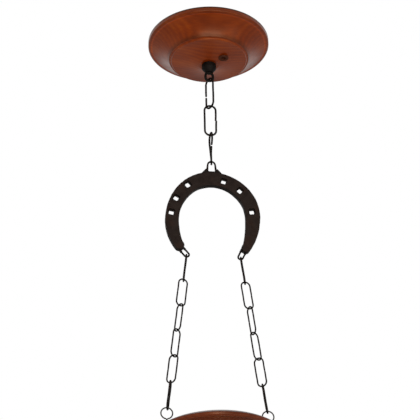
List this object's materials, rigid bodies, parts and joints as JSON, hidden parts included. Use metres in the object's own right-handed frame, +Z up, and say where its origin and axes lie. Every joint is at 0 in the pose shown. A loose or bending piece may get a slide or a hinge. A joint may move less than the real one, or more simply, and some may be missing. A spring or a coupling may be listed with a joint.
{
  "type": "pendant light",
  "caption": "Rustic pendant light: turned wood canopy, open chain, horseshoe, twin side chains and a turned wood disc with an opal bell shade.",
  "frame": {"origin": "centre of the canopy's top on the ceiling plane", "axes": "+Z up, the lamp hangs down -Z; the horseshoe lies in the XZ plane, the side chains at -X and +X; -Y is the side pictured"},
  "size_m": [0.178, 0.178, 0.7621],
  "materials": {
    "canopy_wood": "turned, stained and varnished",
    "disc_wood": "turned, stained and varnished",
    "black_iron": "blackened wire",
    "horseshoe_iron": "forged, dark brown black",
    "antique_steel": "dull antique plating",
    "zinc_steel": "zinc plated",
    "aluminium": "rolled",
    "brass": "satin",
    "gallery_brass": "antique satin",
    "brown_rubber": "matt",
    "black_plastic": "phenolic",
    "nylon": "moulded",
    "porcelain": "glazed",
    "opal_glass": "opal, satin outside",
    "bulb_glass": "frosted"
  },
  "bodies": {
    "root": {"ceiling_crossbar": "zinc_steel", "threaded_stem": "zinc_steel", "stem_nuts": "zinc_steel", "terminal_block": "nylon", "terminal_clamps": "brass", "terminal_screws": "zinc_steel", "block_screws": "zinc_steel", "earth_screw": "brass", "canopy": "canopy_wood", "cord_grommet": "brown_rubber", "hanging_eye": "black_iron"},
    "upper_link_1": {"upper_link_1": "black_iron"},
    "upper_link_2": {"upper_link_2": "black_iron"},
    "upper_link_3": {"upper_link_3": "black_iron"},
    "horseshoe": {"horseshoe": "horseshoe_iron", "toe_staple": "black_iron", "left_heel_loop": "black_iron", "right_heel_loop": "black_iron"},
    "left_link_1": {"left_link_1": "black_iron"},
    "left_link_2": {"left_link_2": "black_iron"},
    "left_link_3": {"left_link_3": "black_iron"},
    "left_link_4": {"left_link_4": "black_iron"},
    "left_link_5": {"left_link_5": "black_iron"},
    "left_link_6": {"left_link_6": "black_iron"},
    "right_link_1": {"right_link_1": "black_iron"},
    "right_link_2": {"right_link_2": "black_iron"},
    "right_link_3": {"right_link_3": "black_iron"},
    "right_link_4": {"right_link_4": "black_iron"},
    "right_link_5": {"right_link_5": "black_iron"},
    "right_link_6": {"right_link_6": "black_iron"},
    "lamp": {"left_screw_eye": "antique_steel", "right_screw_eye": "antique_steel", "lamp_disc": "disc_wood", "nipple": "brass", "nipple_washer": "zinc_steel", "nipple_nut": "zinc_steel", "cord_gland": "black_plastic", "shade_gallery": "gallery_brass", "glass_shade": "opal_glass", "holder_cap": "black_plastic", "holder_skirt": "black_plastic", "holder_insulator": "porcelain", "screw_shell": "brass", "centre_contact": "brass"},
    "bulb": {"bulb_cap": "aluminium", "bulb_insulator": "black_plastic", "bulb_tip": "zinc_steel", "bulb_glass": "bulb_glass"},
    "thumbscrew_1": {"thumbscrew_1": "brass"},
    "thumbscrew_2": {"thumbscrew_2": "brass"},
    "thumbscrew_3": {"thumbscrew_3": "brass"}
  },
  "joints": [
    {"name": "upper_link_1_swing", "type": "hinge", "parent": "root", "child": "upper_link_1", "pos_m": [0, 0, -0.0656], "axis": [0.9925, 0.1219, 0], "range_deg": [-30, 30]},
    {"name": "upper_link_2_swing", "type": "hinge", "parent": "upper_link_1", "child": "upper_link_2", "pos_m": [0, 0, -0.11045], "axis": [0.5, -0.866, 0], "range_deg": [-30, 30]},
    {"name": "upper_link_3_swing", "type": "hinge", "parent": "upper_link_2", "child": "upper_link_3", "pos_m": [0, 0, -0.15575], "axis": [0.9986, -0.0523, 0], "range_deg": [-30, 30]},
    {"name": "horseshoe_swing", "type": "hinge", "parent": "upper_link_3", "child": "horseshoe", "pos_m": [0, 0, -0.20105], "axis": [0.0872, -0.9962, 0], "range_deg": [-30, 30]},
    {"name": "left_link_1_swing", "type": "hinge", "parent": "horseshoe", "child": "left_link_1", "pos_m": [-0.0363, 0, -0.34613], "axis": [1, 0, 0], "range_deg": [-20, 20]},
    {"name": "left_link_2_swing", "type": "hinge", "parent": "left_link_1", "child": "left_link_2", "pos_m": [-0.04045, 0, -0.37942], "axis": [1, 0, 0], "range_deg": [-20, 20]},
    {"name": "left_link_3_swing", "type": "hinge", "parent": "left_link_2", "child": "left_link_3", "pos_m": [-0.0452, 0, -0.41752], "axis": [1, 0, 0], "range_deg": [-20, 20]},
    {"name": "left_link_4_swing", "type": "hinge", "parent": "left_link_3", "child": "left_link_4", "pos_m": [-0.04938, 0, -0.45106], "axis": [1, 0, 0], "range_deg": [-20, 20]},
    {"name": "left_link_5_swing", "type": "hinge", "parent": "left_link_4", "child": "left_link_5", "pos_m": [-0.05399, 0, -0.48803], "axis": [1, 0, 0], "range_deg": [-20, 20]},
    {"name": "left_link_6_swing", "type": "hinge", "parent": "left_link_5", "child": "left_link_6", "pos_m": [-0.0586, 0, -0.52499], "axis": [1, 0, 0], "range_deg": [-20, 20]},
    {"name": "right_link_1_swing", "type": "hinge", "parent": "horseshoe", "child": "right_link_1", "pos_m": [0.0363, 0, -0.34613], "axis": [1, 0, 0], "range_deg": [-20, 20]},
    {"name": "right_link_2_swing", "type": "hinge", "parent": "right_link_1", "child": "right_link_2", "pos_m": [0.04045, 0, -0.37942], "axis": [1, 0, 0], "range_deg": [-20, 20]},
    {"name": "right_link_3_swing", "type": "hinge", "parent": "right_link_2", "child": "right_link_3", "pos_m": [0.0452, 0, -0.41752], "axis": [1, 0, 0], "range_deg": [-20, 20]},
    {"name": "right_link_4_swing", "type": "hinge", "parent": "right_link_3", "child": "right_link_4", "pos_m": [0.04938, 0, -0.45106], "axis": [1, 0, 0], "range_deg": [-20, 20]},
    {"name": "right_link_5_swing", "type": "hinge", "parent": "right_link_4", "child": "right_link_5", "pos_m": [0.05399, 0, -0.48803], "axis": [1, 0, 0], "range_deg": [-20, 20]},
    {"name": "right_link_6_swing", "type": "hinge", "parent": "right_link_5", "child": "right_link_6", "pos_m": [0.0586, 0, -0.52499], "axis": [1, 0, 0], "range_deg": [-20, 20]},
    {"name": "lamp_swing", "type": "hinge", "parent": "left_link_6", "child": "lamp", "pos_m": [-0.0628, 0, -0.55868], "axis": [1, 0, 0], "range_deg": [-25, 25]},
    {"name": "bulb_turn", "type": "hinge", "parent": "lamp", "child": "bulb", "pos_m": [0, 0, -0.64837], "axis": [0, 0, 1], "continuous": true},
    {"name": "thumbscrew_1_turn", "type": "hinge", "parent": "lamp", "child": "thumbscrew_1", "pos_m": [0, 0.0475, -0.62407], "axis": [0, 1, 0], "continuous": true},
    {"name": "thumbscrew_2_turn", "type": "hinge", "parent": "lamp", "child": "thumbscrew_2", "pos_m": [-0.04114, -0.02375, -0.62407], "axis": [-0.866, -0.5, 0], "continuous": true},
    {"name": "thumbscrew_3_turn", "type": "hinge", "parent": "lamp", "child": "thumbscrew_3", "pos_m": [0.04114, -0.02375, -0.62407], "axis": [0.866, -0.5, 0], "continuous": true}
  ],
  "couplings": [
    {"joint": "right_link_1_swing", "follows": "left_link_1_swing", "ratio": 1},
    {"joint": "right_link_2_swing", "follows": "left_link_2_swing", "ratio": 1},
    {"joint": "right_link_3_swing", "follows": "left_link_3_swing", "ratio": 1},
    {"joint": "right_link_4_swing", "follows": "left_link_4_swing", "ratio": 1},
    {"joint": "right_link_5_swing", "follows": "left_link_5_swing", "ratio": 1},
    {"joint": "right_link_6_swing", "follows": "left_link_6_swing", "ratio": 1}
  ]
}
